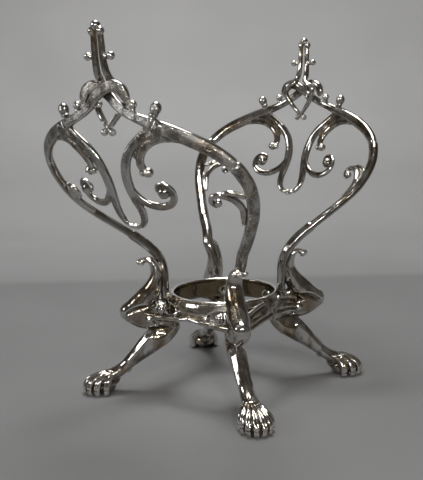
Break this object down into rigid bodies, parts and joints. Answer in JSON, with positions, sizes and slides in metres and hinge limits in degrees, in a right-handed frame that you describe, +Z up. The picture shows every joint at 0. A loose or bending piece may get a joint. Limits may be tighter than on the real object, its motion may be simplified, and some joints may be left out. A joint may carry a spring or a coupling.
{
  "type": "table number holder",
  "caption": "Cast silver stand: paw-footed animal legs round an open ring carry openwork heart-shaped scroll panels that lean outwards to hold a bowl, vase or table number.",
  "frame": {"origin": "on the table under the middle of the ring", "axes": "+Z up; the scroll panels face -Y (front) and +Y (rear); +X to the right of the front panel"},
  "size_m": [0.115, 0.1776, 0.18],
  "materials": {
    "polished_silver": "polished silver plate, warm with tarnish",
    "brushed_silver": "worn, finely brushed silver plate",
    "tarnished_silver": "polished silver plate, browned with tarnish"
  },
  "bodies": {
    "root": {"leg_front_right": "polished_silver", "leg_front_left": "polished_silver", "leg_rear_right": "polished_silver", "leg_rear_left": "polished_silver", "side_bar_front_right": "brushed_silver", "side_bar_front_left": "brushed_silver", "side_bar_rear_right": "brushed_silver", "side_bar_rear_left": "brushed_silver", "leaf_scroll_front_right": "brushed_silver", "leaf_scroll_front_left": "brushed_silver", "leaf_scroll_rear_right": "brushed_silver", "leaf_scroll_rear_left": "brushed_silver", "hub_strut_side_front_right": "tarnished_silver", "hub_strut_side_front_left": "tarnished_silver", "hub_strut_side_rear_right": "tarnished_silver", "hub_strut_side_rear_left": "tarnished_silver", "hub_strut_panel_front_right": "tarnished_silver", "hub_strut_panel_front_left": "tarnished_silver", "hub_strut_panel_rear_right": "tarnished_silver", "hub_strut_panel_rear_left": "tarnished_silver", "hub_screw_front_right": "polished_silver", "hub_screw_front_left": "polished_silver", "hub_screw_rear_right": "polished_silver", "hub_screw_rear_left": "polished_silver", "hub_nut_front_right": "polished_silver", "hub_nut_front_left": "polished_silver", "hub_nut_rear_right": "polished_silver", "hub_nut_rear_left": "polished_silver", "crest_right_front": "brushed_silver", "crest_right_rear": "brushed_silver", "crest_left_front": "brushed_silver", "crest_left_rear": "brushed_silver", "pendant_link_front": "brushed_silver", "pendant_link_rear": "brushed_silver", "finial_front": "polished_silver", "finial_rear": "polished_silver", "hub_ring": "tarnished_silver"}
  },
  "joints": []
}
